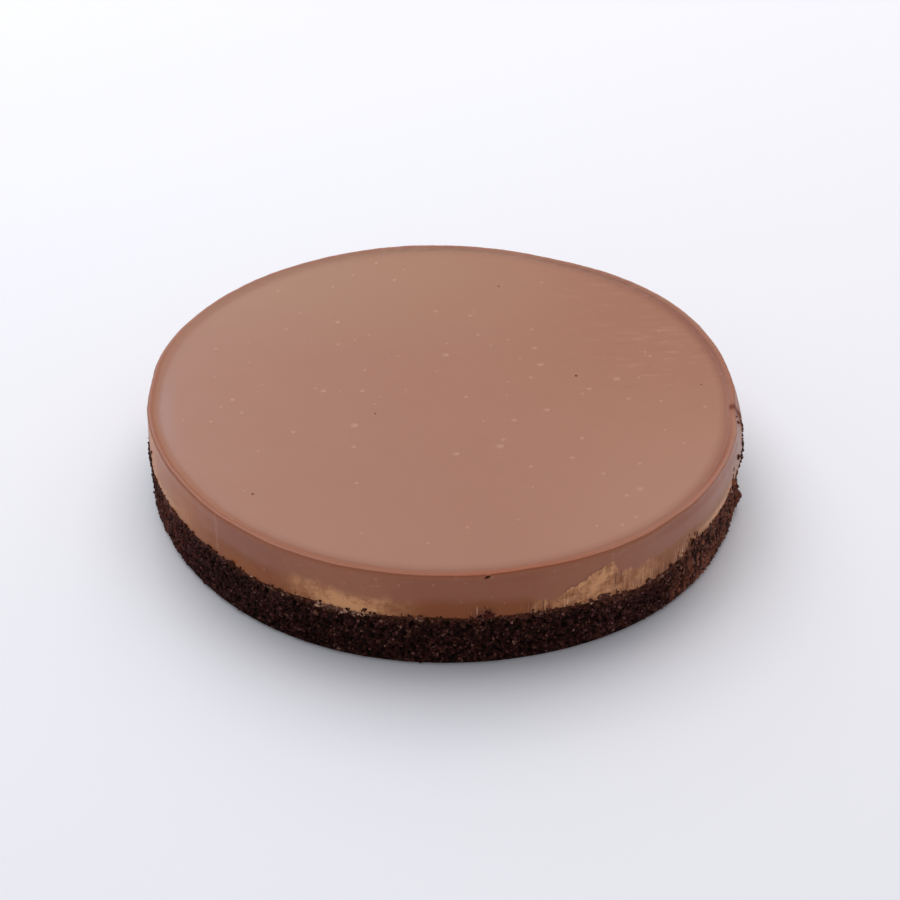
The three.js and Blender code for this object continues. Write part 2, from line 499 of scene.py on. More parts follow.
for turn, height, size, depth in WALL_MARKS:
    bubbles.append((on_ring(radians(turn), height), size * MM, depth * size * MM))
for _ in range(SMALL_MARKS):
    turn, height = random.uniform(0, 2 * pi), random.uniform(21.5, 37.5)
    size = random.uniform(0.3, 0.6) * MM
    bubbles.append((on_ring(turn, height), size, 0.2 * size))
near_bubble = KDTree(len(bubbles))
for number, (place, _, _) in enumerate(bubbles):
    near_bubble.insert(place, number)
near_bubble.balance()

cream = turn_section("cream", cream_section(), CREAM_STEPS)
close_with_grid(SPONGE_HEIGHT + LAYER_GAP, *HIDDEN_GRID)
close_with_grid(LEVEL, *TOP_GRID)
face_outward()
for reach in REFINED_REACHES:
    select_coarse_near(reach)
    bpy.ops.mesh.subdivide(number_cuts=1)
bpy.ops.object.mode_set(mode="OBJECT")


def bubble_centres():
    """One loose vertex for each bubble, with its size and depth."""
    marks = bpy.data.meshes.new("bubble_centres")
    marks.from_pydata([place for place, _, _ in bubbles], [], [])
    for name, values in (("size", [b[1] for b in bubbles]), ("depth", [b[2] for b in bubbles])):
        marks.attributes.new(name, "FLOAT", "POINT").data.foreach_set("value", values)
    centres = bpy.data.objects.new("bubble_centres", marks)
    bpy.context.scene.collection.objects.link(centres)
    return centres


def pit_bubbles(nodes, geometry):
    centres = nodes.node("GeometryNodeObjectInfo", {}, {"Object": marks}, output="Geometry")
    place = nodes.position()
    nearest = nodes.node("GeometryNodeSampleNearest", {}, {"Geometry": centres, "Sample Position": place})

    def of_nearest(kind, value):
        values = {"Geometry": centres, "Value": value, "Index": nearest}
        return nodes.node("GeometryNodeSampleIndex", {"data_type": kind, "domain": "POINT"}, values)

    def named(name):
        field = nodes.node("GeometryNodeInputNamedAttribute", {"data_type": "FLOAT"}, {"Name": name})
        return of_nearest("FLOAT", field)

    middle = of_nearest("FLOAT_VECTOR", nodes.position())
    size, depth = named("size"), named("depth")
    away = nodes.vector_math("DISTANCE", {0: place, 1: middle}, output=1)
    away = away / size
    dish = 1 - away.rise(0.1, 1.0)
    lip = away.within(0.75, 1.1, 1.1, 1.6)
    deep = (depth / size).rise(0.5, 0.9)
    geometry = store(geometry, "bubble", (1 - away.rise(0.1, 1.2)) * (1 - deep))
    geometry = store(geometry, "pinhole", dish * deep)
    outward = nodes.node("GeometryNodeInputNormal")
    lift = 0.25 * depth * lip - depth * dish
    offset = nodes.vector_math("SCALE", {0: outward, "Scale": lift})
    return nodes.node("GeometryNodeSetPosition", {}, {"Geometry": geometry, "Offset": offset})


SEAM_BEARING = 224


def shape_cream(nodes, geometry):
    place = nodes.position()
    x, y, z, radius, bearing = place_parts(place)
    on_rim = radius.rise(CREST - HOLLOW_WIDTH, CREST) * z.rise(SHOULDER - 4 * MM, SHOULDER)
    at_wall = radius.rise(RING_RADIUS - 3 * MM, RING_RADIUS - 1 * MM)
    to_back = 0.5 + 0.5 * nodes.math("SINE", bearing)
    uneven_rim = noise(place, 14 * MM, 3.0, 0.6)
    bumpy_rim = noise(place, 4.5 * MM, 3.0, 0.7)
    lift = on_rim * (waves(bearing, RIM_WAVES) + 0.1 * MM * uneven_rim
                     + (0.05 + 0.22 * to_back) * MM * bumpy_rim - 0.1 * MM)
    lean = on_rim * (RIM_LEAN * nodes.math("COSINE", bearing - radians(RIM_LEAN_BEARING))
                     + 0.3 * MM * noise(scaled(place, 1, 1, 0.2), 22 * MM, 3.0, 0.65)
                     + 0.12 * MM * bumpy_rim + bumps_at(bearing, RIM_NUDGES))
    tuck_zone = radius.rise(CREST - 9 * MM, CREST) * z.rise(SHOULDER - 5 * MM, SHOULDER + 0.5 * MM)
    lean = lean + tuck_zone * bumps_at(bearing, TUCKS)
    in_hollow = radius.within(CREST - 9 * MM, CREST - 4 * MM, CREST - 2 * MM, CREST)
    hollows = in_hollow * z.rise(LEVEL - 1 * MM, LEVEL) * 0.12 * MM * noise(place, 9 * MM, 3.0, 0.6)
    upright = scaled(place, 1, 1, 0.16)
    ripple = RIPPLE * noise(upright, 16 * MM, 1.0)
    ripple = at_wall * (ripple + FINE_RIPPLE * noise(upright, 3.5 * MM, 2.0))
    past_seam = RING_RADIUS * turn_from(bearing, SEAM_BEARING)
    seam = at_wall * past_seam.rise(-0.9 * MM, 0.6 * MM) * (1 - past_seam.rise(0.6 * MM, 14 * MM))
    bulge = at_wall * (1 - 0.65 * z.rise(22 * MM, 38 * MM)) * bumps_at(bearing, WALL_BULGES)
    near_foot = at_wall * (1 - z.rise(SPONGE_HEIGHT + 0.5 * MM, SPONGE_HEIGHT + 5 * MM))
    ragged = near_foot * 0.45 * MM * noise(place, 6 * MM, 3.0, 0.65)
    swell = TOP_SWELL * noise(place, 70 * MM, 0.0) * z.rise(LEVEL - 1 * MM, LEVEL)
    outward = ripple + SEAM_STEP * seam + bulge - lean
    across = outline_factor(bearing) + outward / nodes.math("MAXIMUM", radius, 1 * MM)
    height = z + lift + ragged + swell + hollows + layer_line_shift(bearing, radius, z)
    outside = radius.rise(CREST - 0.2 * MM, CREST + 0.3 * MM)
    on_top = z.rise(LEVEL - 1 * MM, LEVEL - 0.5 * MM)
    crest = radius.rise(CREST - 2 * MM, CREST - 1 * MM) * z.rise(SHOULDER + 0.3 * MM, SHOULDER + 0.9 * MM)
    wall = outside * (1 - z.rise(SHOULDER + 0.2 * MM, SHOULDER + 0.9 * MM))
    hollow = on_top * radius.rise(CREST - 6.5 * MM, CREST - 3.2 * MM)
    hollow = hollow * (1 - radius.rise(CREST - 1.8 * MM, CREST - 0.8 * MM))
    slope = on_top * radius.rise(CREST - 3 * MM, CREST - 2 * MM)
    slope = slope * (1 - radius.rise(CREST - 0.8 * MM, CREST - 0.1 * MM))
    for name, zone in (("wall", wall), ("crest", crest), ("hollow", hollow), ("slope", slope)):
        geometry = store(geometry, name, zone)
    return set_place(geometry, x * across, y * across, height)


marks = bubble_centres()
reshape(cream, "bubbles", pit_bubbles)
reshape(cream, "cream_shape", shape_cream)
bpy.data.objects.remove(marks)
select_only(cream)
bpy.ops.object.shade_smooth()

skin, shader = new_material("milk chocolate cream")
place = shader.node("ShaderNodeTexCoord", output="Object")
x, y, z, radius, bearing = place_parts(place)
bubble, pinhole = attribute(shader, "bubble"), attribute(shader, "pinhole")


# The lowest part of the wall is yellower, and pale where crumbs scraped it: partly the cream's own marks,
# partly painted warm reflection, with a brown band low at the front that is painted dark reflection. Each
# curve runs once round, from bearing 0; heights are over 20 mm.
SCRAPES_AND_REFLECTION_HEIGHT = (
    (0, 0.35), (0.08, 0.22), (0.16, 0.33), (0.25, 0.2), (0.34, 0.38), (0.42, 0.25), (0.5, 0.35),
    (0.55, 0.2), (0.58, 0.38), (0.61, 0.42), (0.64, 0.4), (0.664, 0.4), (0.673, 0.45), (0.69, 0.43),
    (0.698, 0.35), (0.712, 0.33), (0.725, 0.33), (0.75, 0.38), (0.79, 0.33), (0.80, 0.25), (0.83, 0.3),
    (0.84, 0.5), (0.86, 0.5), (0.88, 0.46), (0.89, 0.4), (0.905, 0.34), (0.93, 0.38), (0.96, 0.3), (1, 0.35),
)
PALE_SCRAPES_AND_REFLECTION = (
    (0, 0.5), (0.1, 0.3), (0.2, 0.8), (0.3, 0.35), (0.4, 0.7), (0.5, 0.5), (0.575, 0.5), (0.6, 0.2),
    (0.62, 0.0), (0.655, 0.0), (0.673, 0.5), (0.684, 0.68), (0.693, 0.92), (0.702, 1.0), (0.713, 0.95),
    (0.722, 0.6), (0.732, 0.2), (0.75, 0.0), (0.788, 0.05), (0.797, 0.45), (0.81, 0.62), (0.82, 0.75),
    (0.832, 0.8), (0.84, 0.62), (0.86, 0.56), (0.87, 0.14), (0.885, 0.2), (0.915, 0.3), (0.935, 0.35),
    (0.96, 0.5), (1, 0.5),
)
# How much painted shade darkens the hollow inside the rim, once round.
HOLLOW_SHADE = (
    (0, 0.5), (0.1, 0.2), (0.4, 0.3), (0.5, 0.15), (0.58, 0.1), (0.66, 0.8), (0.72, 0.95), (0.88, 0.95),
    (0.94, 0.88), (1, 0.5),
)
TOP_CREAM = colour(163, 109, 85)
WALL_CREAM_AND_REFLECTION = colour(158, 93, 66)
UNDER_RIM_CREAM = colour(163, 95, 62)
CREST_CREAM = colour(150, 86, 56)
HOLLOW_SHADE_CREAM = colour(145, 89, 64)
FOOT_CREAM_AND_REFLECTION = colour(141, 72, 20)
SCRAPED_CREAM_AND_REFLECTION = colour(218, 156, 106)
on_wall, crest, hollow, slope = (attribute(shader, n) for n in ("wall", "crest", "hollow", "slope"))
mottle = noise(place, 30 * MM, 3.0, 0.6)
uneven = noise(place, 7 * MM, 3.0, 0.6)
turn = shader.math("FRACT", bearing / (2 * pi) + 0.006 * uneven)
upright = scaled(place, 1, 1, 0.07)
teeth = noise(upright, 1.6 * MM, 2.0, 0.6)
streaks = noise(upright, 0.8 * MM, 3.0, 0.7)
tint = mixed(0.4 + 0.3 * mottle + 0.3 * uneven, TOP_CREAM, colour(158, 104, 80))
wall_tint = mixed(0.5 + 0.4 * uneven, WALL_CREAM_AND_REFLECTION, colour(154, 92, 68))

above = above_line(bearing, z)
blotches = noise(place, 4 * MM, 3.0, 0.65)
wide_teeth = noise(upright, 3.6 * MM, 2.0, 0.6)
pale = shader.node("ShaderNodeFloatCurve", {"points": PALE_SCRAPES_AND_REFLECTION}, {"Value": turn})
zone_top = 20 * shader.node("ShaderNodeFloatCurve", {"points": SCRAPES_AND_REFLECTION_HEIGHT}, {"Value": turn})
combed = turn.within(0.834, 0.84, 0.895, 0.91) + turn.within(0.18, 0.2, 0.29, 0.31)
grainy = noise(place, 2.2 * MM, 3.0, 0.65)
soft = (1 - combed) * (1.0 * uneven + 1.2 * blotches + 0.5 * grainy)

# One patch was scraped off along a straight slant, which rises from one bearing to the other. The wall's
# tint also changes slowly round the cake: each list gives bearing, half width and share. The warmer, brown
# and golden shares are painted warm reflection, and the pinker and greyer ones painted sheen.
SLANT_FROM, SLANT_TO = 287.5, 299.6
BANDS_AT = ((331, 8, 0.85), (253, 4, 0.85), (297.5, 2.2, 0.35), (203, 8, 0.5))
SMUDGED_AT = ((255, 6, 0.9),)
WARM_REFLECTION_AT, GREY_SHEEN_AT, GOLD_REFLECTION_AT = ((200, 13, 0.25),), ((348, 6, 0.4),), ((193, 5, 0.42),)
PINK_SHEEN_AT = ((331, 9, 0.22), (313, 9, 0.1))
BROWN_REFLECTION_AT, FOOT_BROWN_REFLECTION_AT = ((214, 8, 0.4), (202, 7, 0.2)), ((230, 7, 0.25),)
FADED_AT = ((338, 13, 0.95), (190, 8, 0.85))
along_slant = turn_from(bearing, SLANT_FROM) / radians(SLANT_TO - SLANT_FROM)
slant = shader.math("MAXIMUM", 2.8 + 12.6 * along_slant, 4.6)
slant = slant * along_slant.within(-0.12, 0.0, 1.02, 1.4)
slant = slant + 0.3 * uneven + 0.35 * grainy
zone_top = shader.math("MAXIMUM", zone_top, slant)
edge = above - zone_top - combed * (1.8 * wide_teeth + 1.3 * teeth + 1.3 * streaks) - soft
slanted = along_slant.within(-0.3, 0.1, 1.2, 1.5)
blur = 2.6 - 2.1 * shader.math("MAXIMUM", slanted, 0.75 * combed)
scraped = 1 - edge.rise(0.0 - blur, blur)
smudge = noise(scaled(place, 1, 1, 2.2), 6 * MM, 3.0, 0.7).rise(0.15, 0.9)
smudged = bumps_at(bearing, SMUDGED_AT) * z.rise(31 * MM, 34 * MM)
wall_tint = wall_tint.toward(0.12 * pale + (0.2 + smudged) * smudge, SCRAPED_CREAM_AND_REFLECTION)
climb = 0.45 + 0.065 * shader.math("MINIMUM", above, 6.0)
band_away = (above - 2.4) / 1.5
band = shader.math("EXPONENT", 0.0 - band_away * band_away) * bumps_at(bearing, BANDS_AT)
patchy = (blotches + 0.5 * grainy).rise(-0.35, 0.4) - 0.5
whiter = climb + 0.1 * uneven + (0.55 + 0.3 * slanted) * patchy + 0.2 * grainy
whiter = whiter + (0.05 + 0.45 * combed) * streaks + 0.14 * teeth
# Pale scraped cream mixed with painted warm reflection, over the foot's brown, which is painted dark
# reflection at the front.
scraped_and_reflected_tint = mixed(pale * whiter + band, FOOT_CREAM_AND_REFLECTION, SCRAPED_CREAM_AND_REFLECTION)
flecks = slanted * (0.0 - grainy - 0.6 * blotches).rise(0.25, 0.9)
scraped_and_reflected_tint = scraped_and_reflected_tint.toward(0.45 * flecks, colour(150, 86, 46))
crease = (1 - abs(edge - 0.3)).rise(0.4, 1.0) * along_slant.within(0.1, 0.4, 0.9, 1.0)
scraped_and_reflected_tint = scraped_and_reflected_tint.toward(0.7 * crease, colour(104, 58, 34))
# Painted warm reflection on the left of the wall, and painted pink sheen on the right.
wall_tint = wall_tint.toward(bumps_at(bearing, WARM_REFLECTION_AT), colour(204, 122, 70))
wall_tint = wall_tint.toward(bumps_at(bearing, PINK_SHEEN_AT), colour(206, 156, 142))
# Painted warm reflection: the wall is redder at the front, and drawn toward plainer cream at the back.
behind = y.rise(10 * MM, 60 * MM)
wall_tint = wall_tint.toward(0.9 * behind, colour(156, 104, 82))
scraped_and_reflected_tint = scraped_and_reflected_tint.toward(0.5 * behind, colour(182, 132, 102))
wall_tint = wall_tint.toward(scraped, scraped_and_reflected_tint)
# Painted brown reflection at the left and low at the left foot, painted grey sheen at the far right, and
# painted golden reflection at the far left.
brown_reflection = bumps_at(bearing, BROWN_REFLECTION_AT)
brown_reflection = brown_reflection + bumps_at(bearing, FOOT_BROWN_REFLECTION_AT) * (1 - above.rise(4, 9))
wall_tint = wall_tint.toward(brown_reflection, colour(186, 100, 10))
wall_tint = wall_tint.toward(bumps_at(bearing, GREY_SHEEN_AT), colour(192, 166, 160))
wall_tint = wall_tint.toward(bumps_at(bearing, GOLD_REFLECTION_AT), colour(222, 138, 64))
wall_tint = wall_tint.toward(0.4 * crease, colour(104, 58, 34))

# Fine upright scratches where crumbs ran up the wall as the ring came off, dark and pale by turns,
# two deeper ones, and one slight nick like a roof.
SCRATCHED = (
    (276.5, 1.9, 1.6), (285, 1.2, 0.8), (287.8, 0.7, 1.6), (292.3, 1.3, 1.6), (302, 1.6, 0.8), (311, 9, 0.8),
    (318, 3, 0.7), (75, 8, 0.8),
)
DARK_SMEARS = ((276.7, 1.35, 1.0), (278.3, 0.7, 0.5), (275.1, 0.5, 0.6))
hairs = noise(scaled(place, 1, 1, 0.05), 0.65 * MM, 2.0, 0.6)
scratched = bumps_at(bearing, SCRATCHED) * (1 - above.rise(3.5 + 3 * teeth, 6.5 + 3 * teeth))
wall_tint = wall_tint.toward(scratched * hairs.rise(0.05, 0.5), colour(92, 48, 28))
wall_tint = wall_tint.toward(0.8 * scratched * (0.0 - hairs).rise(0.1, 0.5), colour(222, 172, 132))
smear = bumps_at(bearing, DARK_SMEARS) * (0.7 + 0.5 * streaks)
smear = smear * (1 - above.rise(3.0 + 2 * teeth, 5.5 + 2 * teeth))
wall_tint = wall_tint.toward(0.75 * smear, colour(100, 38, 12))
for deep_scratch in (301.3, 302.4):
    beside = RING_RADIUS * turn_from(bearing, deep_scratch) + 0.12 * MM * grainy
    stroke = 1 - abs(beside).rise(0.12 * MM, 0.4 * MM)
    stroke = stroke * z.within(23.4 * MM, 24.2 * MM, 28.2 * MM, 29 * MM)
    wall_tint = wall_tint.toward(0.75 * stroke, colour(92, 50, 30))
NICK_BEARING, NICK_HEIGHT = 302.8, 37.4 * MM
beside = abs(RING_RADIUS * turn_from(bearing, NICK_BEARING))
nick = abs(z - NICK_HEIGHT + 0.6 * beside)
nick = (1 - nick.rise(0.05 * MM, 0.5 * MM)) * (1 - beside.rise(1.6 * MM, 3.2 * MM)) * (0.8 + 0.6 * grainy)
wall_tint = wall_tint.toward(0.3 * nick, colour(206, 160, 140))
faded = bumps_at(bearing, FADED_AT)
under_rim = z.rise(SHOULDER - 1.0 * MM, SHOULDER + 0.2 * MM) * (1 - 0.8 * behind) * (1 - faded)
wall_tint = wall_tint.toward(under_rim, UNDER_RIM_CREAM)
seam_line = abs(RING_RADIUS * turn_from(bearing, SEAM_BEARING))
wall_tint = wall_tint.toward(0.1 * (1 - seam_line.rise(0.1 * MM, 1.2 * MM)), colour(214, 160, 132))

# The top is yellower at the back and pinker at the front right, as painted sheen, and warmer at the back
# right, as painted reflection. The hollow inside the rim is painted darker and redder, as painted shade, and
# its slope lilac at the left, as painted sheen. The rim is paler just under its edge, as painted sheen, and
# folded in once, with painted shadow in the fold.
SHADED_HOLLOW_AT, SHADED_SLOPE_AT, LILAC_SHEEN_AT = ((22, 28, 0.65),), ((335, 14, 0.8),), ((186, 14, 0.42),)
RED_CREST_AT, WALL_TOP_SHEEN_AT, RIM_EDGE_SHEEN_AT = ((280, 17, 0.72),), ((336, 14, 0.55),), ((338, 12, 0.8),)
BEADED_AT, FOLD_SHADOW_AT = ((332, 17, 0.55), (288, 20, 0.3), (215, 16, 0.3)), ((355.4, 1.1, 0.9),)
shaded = shader.node("ShaderNodeFloatCurve", {"points": HOLLOW_SHADE}, {"Value": turn})
# Painted reflection, warmer and darker at the back right, and painted sheen, lighter at the back left and at
# the front right.
tint = tint.toward(x.rise(0, 110 * MM) * y.rise(-40 * MM, 60 * MM) * 0.5, colour(149, 90, 53))
tint = tint.toward(y.rise(10 * MM, 100 * MM) * (1 - x.rise(-10 * MM, 80 * MM)), colour(165, 118, 91))
tint = tint.toward(x.rise(20 * MM, 90 * MM) * (1 - y.rise(-80 * MM, -10 * MM)), colour(166, 114, 90))
# Painted shade: the hollow is darker, and redder at the right and on the slope there.
tint = tint.toward(hollow * shaded, HOLLOW_SHADE_CREAM)
hollow_shade = bumps_at(bearing, SHADED_HOLLOW_AT)
slope_shade = hollow_shade + bumps_at(bearing, SHADED_SLOPE_AT)
painted_hollow_shade = shader.math("MAXIMUM", hollow * (hollow_shade + 0.35 * slope_shade), slope * slope_shade)
tint = tint.toward(painted_hollow_shade, colour(132, 66, 39))
# Painted lilac sheen on the slope inside the rim at the left.
lilac_sheen = bumps_at(bearing, LILAC_SHEEN_AT) * radius.rise(RING_RADIUS - 14 * MM, RING_RADIUS - 7 * MM)
tint = tint.toward(lilac_sheen * (1 - slope), colour(163, 126, 120))
tint = tint.toward(on_wall, wall_tint)
tint = tint.toward(crest, mixed(0.8 * behind, CREST_CREAM, colour(158, 102, 77)))
tint = tint.toward(crest * bumps_at(bearing, RED_CREST_AT), colour(152, 73, 30))
outside = shader.math("MAXIMUM", on_wall, crest) * (1 - slope)
# Painted sheen at the top of the wall and on the outer edge of the rim, at the right.
near_top = outside * z.within(37.8 * MM, 38.7 * MM, 39.1 * MM, 39.4 * MM)
tint = tint.toward(near_top * bumps_at(bearing, WALL_TOP_SHEEN_AT), colour(191, 150, 137))
rim_edge_sheen = crest * (1 - slope) * z.rise(39.2 * MM, 39.35 * MM) * bumps_at(bearing, RIM_EDGE_SHEEN_AT)
tint = tint.toward(rim_edge_sheen, colour(152, 106, 92))
beaded = bumps_at(bearing, BEADED_AT) * blotches.rise(0.0, 0.5)
tint = tint.toward(crest * beaded, colour(164, 80, 40))
# Painted shadow where the rim folds in.
fold_shadow = bumps_at(bearing, FOLD_SHADOW_AT) * z.rise(33.5 * MM, 35.5 * MM)
fold_shadow = fold_shadow * shader.math("MAXIMUM", on_wall, crest)
tint = tint.toward(fold_shadow, colour(98, 30, 14))
# Bubbles are painted paler: partly thinner, paler skin, partly painted highlight on their rims.
tint = tint.toward(bubble * 0.42, colour(200, 156, 134))
# Painted shade inside the pinholes and the hole under the rim.
tint = tint.toward((pinhole * 1.6).rise(0, 1), colour(30, 10, 5))

fine = noise(place, 0.9 * MM, 2.0)
puckers = noise(scaled(place, 0.22, 1, 1), 2.6 * MM, 2.0, 0.6)
puckered = x.rise(30 * MM, 90 * MM) * y.rise(-20 * MM, 30 * MM) * (1 - on_wall)
# Painted highlight and painted shade on the puckers, over their bump.
tint = tint.toward(0.42 * puckered * puckers.rise(0.15, 0.7), colour(190, 142, 114))
tint = tint.toward(0.32 * puckered * (0.0 - puckers).rise(0.15, 0.7), colour(132, 76, 48))
relief = 0.05 * fine + 2.2 * puckered * puckers + 0.2 * on_wall * streaks
bumps = shader.node("ShaderNodeBump", {}, {"Strength": 0.5, "Distance": 0.1 * MM, "Height": relief})
finish_material(shader, {
    "Base Color": tint,
    "Roughness": 0.36 + 0.03 * mottle + 0.05 * on_wall + 0.3 * slope * slope_shade + 0.4 * fold_shadow,
    "Normal": bumps,
    "Subsurface Weight": 0.2,
    "Subsurface Radius": (1.0, 0.45, 0.25),
    "Subsurface Scale": 2 * MM,
    "IOR": 1.42,
})
cream.data.materials.append(skin)
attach(cream, "root")
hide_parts("chocolate_cream")


# Sponge base: one closed body of dark, moist, open crumb, cut by the same ring. Its side is torn
# rather than smooth: lumps, grains and pores are worked into it.
FOOT_INSET = 1.0 * MM
FOOT_HEIGHT = 2.4 * MM
SPONGE_PROUD = -0.25 * MM
SPONGE_STEPS = 1640
LUMP_RELIEF, TORN_RELIEF, GRAIN_RELIEF, PORE_DEPTH = 0.35 * MM, 0.4 * MM, 0.9 * MM, 1.3 * MM
# Clumps that bulge out of the torn side: bearing, height, spread, and how far they stand out.
CLUMPS = (
    (350, 5, 6, 3.2), (341, 7, 9, 0.8), (3, 13, 6, 1.0), (312, 17, 6, 0.6), (267, 12, 6, 0.6),
    (183, 13, 6, 1.0), (96, 11, 7, 0.8),
)


def sponge_section():
    side = RING_RADIUS + SPONGE_PROUD
    top = SPONGE_HEIGHT
    rows = 46
    points = [(side - 8 * MM, 0), (side - 4 * MM, 0), (side - FOOT_INSET - 0.5 * MM, 0)]
    for row in range(rows):
        height = 0.1 * MM + (top - 0.1 * MM) * row / (rows - 1)
        climb = min(height / FOOT_HEIGHT, 1)
        points.append((side - FOOT_INSET * (1 - climb * climb * (3 - 2 * climb)), height))
    points += [(side - inset * MM, top) for inset in (0.8, 2, 4, 8)]
    return points


def clump_bulge(bearing, z):
    total = 0.0
    for middle, height, spread, proud in CLUMPS:
        along = turn_from(bearing, middle) * (RING_RADIUS / (spread * MM))
        up = (z - height * MM) / (spread * MM)
        total = proud * MM * bearing.math("EXPONENT", 0.0 - (along * along + up * up)) + total
    return total


def shaken(geometry, place, wavelength, reach):
    """Moves every point by noise, at most about half the reach in each direction."""
    values = {"Vector": place, "Scale": 1 / wavelength, "Detail": 1.0}
    way = place.node("ShaderNodeTexNoise", {}, values, output="Color")
    way = way.vector_math("SUBTRACT", {0: way, 1: (0.5, 0.5, 0.5)})
    way = way.vector_math("SCALE", {0: way, "Scale": reach})
    return geometry.node("GeometryNodeSetPosition", {}, {"Geometry": geometry, "Offset": way})


def shape_sponge(nodes, geometry):
    place = nodes.position()
    x, y, z, radius, bearing = place_parts(place)
    side = radius.rise(RING_RADIUS - 2.2 * MM, RING_RADIUS - 0.6 * MM) * z.rise(0, 1.5 * MM)
    lumps = noise(place, 7 * MM, 2.0, 0.5)
    torn = noise(place, 2.4 * MM, 4.0, 0.75)
    pores = noise(place, 1.7 * MM, 2.0, 0.6).rise(-0.05, 0.4)
    cells = {"Vector": place, "Scale": 1 / (1.7 * MM)}
    grains = nodes.node("ShaderNodeTexVoronoi", {}, cells, output="Distance")
    relief = LUMP_RELIEF * lumps + TORN_RELIEF * torn + GRAIN_RELIEF * (0.45 - grains)
    relief = relief - PORE_DEPTH * pores
    relief = side * (relief + clump_bulge(bearing, z) * (0.6 + 0.5 * torn))
    across = outline_factor(bearing) + relief / nodes.math("MAXIMUM", radius, 1 * MM)
    at_top = side * z.rise(SPONGE_HEIGHT - 1.5 * MM, SPONGE_HEIGHT)
    ragged = at_top * 0.7 * MM * noise(place, 3 * MM, 3.0, 0.7)
    height = z + layer_line_shift(bearing, radius, z) + ragged
    geometry = store(geometry, "pore", side * pores)
    geometry = set_place(geometry, x * across, y * across, height)
    return shaken(geometry, place, 1.3 * MM, side * 1.4 * MM)


sponge = turn_section("sponge", sponge_section(), SPONGE_STEPS)
close_with_grid(0, *HIDDEN_GRID)
close_with_grid(SPONGE_HEIGHT, *HIDDEN_GRID)
face_outward()
bpy.ops.object.mode_set(mode="OBJECT")
reshape(sponge, "sponge_shape", shape_sponge)
select_only(sponge)
bpy.ops.object.shade_smooth()

crumb, shader = new_material("dark sponge crumb")
place = shader.node("ShaderNodeTexCoord", output="Object")
pore, shade = attribute(shader, "pore"), attribute(shader, "shade")
cells = shader.node("ShaderNodeTexVoronoi", {}, {"Vector": place, "Scale": 1 / (0.9 * MM)}, output="Color")
cell = shader.node("ShaderNodeSeparateXYZ", {}, {"Vector": cells})
small = noise(place, 1.0 * MM, 3.0, 0.7)
patches = noise(place, 8 * MM, 2.0)
x, y, z, radius, bearing = place_parts(place)
below = (SPONGE_HEIGHT + layer_line(bearing) - z) / MM

CRUMB_SHADES = (
    (0.0, colour(22, 4, 2)), (0.25, colour(52, 16, 10)), (0.45, colour(70, 33, 26)),
    (0.65, colour(99, 55, 46)), (0.85, colour(134, 87, 76)), (1.0, colour(174, 130, 118)),
)
SMEARED_AT = ((200, 9, 0.2), (326, 9, 0.75), (344, 8, 0.8), (317.5, 1.5, 0.5), (100, 12, 0.45))
STREAKED_AT, LIGHTER_AT = ((207, 11, 0.6),), ((305, 13, 0.11), (205, 10, 0.1), (330, 8, 0.13))
RUDDY_AT, RUDDY_CLUSTER_AT = ((205, 12, 0.45),), ((277.3, 2.0, 0.35),)

# The ring smeared the crumb where it sat tight against the side: there it is paler and drawn out
# upwards. Along the top the crumb has soaked up some cream.
smeared = bumps_at(bearing, SMEARED_AT)
smears = noise(scaled(place, 1, 1, 0.22), 2.2 * MM, 4.0, 0.7)
soaked = below.within(-1.4, -0.2, 0.4, 3.6) * (0.42 + 0.3 * patches + 0.3 * small)
grain = noise(place, 1.3 * MM, 2.0, 0.6)
ruddy = bumps_at(bearing, RUDDY_AT)
ruddy = ruddy + bumps_at(bearing, RUDDY_CLUSTER_AT) * (1 - below.rise(-0.8, 0.4))
lighter = bumps_at(bearing, LIGHTER_AT)
pale = 0.32 * cell + 0.48 * grain + 0.25 * patches + 0.5 * shade + 0.2 * smeared + lighter + 0.1
tint = shader.node("ShaderNodeValToRGB", {"stops": CRUMB_SHADES}, {"Fac": pale})
tint = tint.toward(ruddy, colour(92, 22, 12))
# Painted shade in the pores and the gaps between grains.
tint = tint.toward((small.rise(-0.1, 0.4) + pore) * (0.9 - 0.3 * smeared), colour(9, 2, 1))
tint = tint.toward(soaked, colour(116, 68, 50))
tint = tint.toward(1.7 * smeared * smears.rise(-0.25, 0.7), colour(176, 106, 78))
streaked = 1.15 * smeared + bumps_at(bearing, STREAKED_AT)
tint = tint.toward(streaked * (0.0 - smears).rise(-0.05, 0.45), colour(16, 3, 1))
# Painted highlight: pale specks standing in for moist glints.
painted_glint = noise(place, 0.6 * MM, 1.0).rise(0.72, 0.9) * 0.8
tint = tint.toward(painted_glint, colour(205, 168, 156))
relief = noise(place, 0.5 * MM, 3.0, 0.6)
bumps = shader.node("ShaderNodeBump", {}, {"Strength": 0.7, "Distance": 0.3 * MM, "Height": relief})
finish_material(shader, {"Base Color": tint, "Roughness": 0.6, "Specular IOR Level": 0.1, "Normal": bumps})
sponge.data.materials.append(crumb)
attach(sponge, "root")
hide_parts("sponge_base")


# Side crumbs: loose and half loose grains of the dark, moist sponge, which cling to its torn side
# all round.
PER_SQUARE_METRE = 1e6


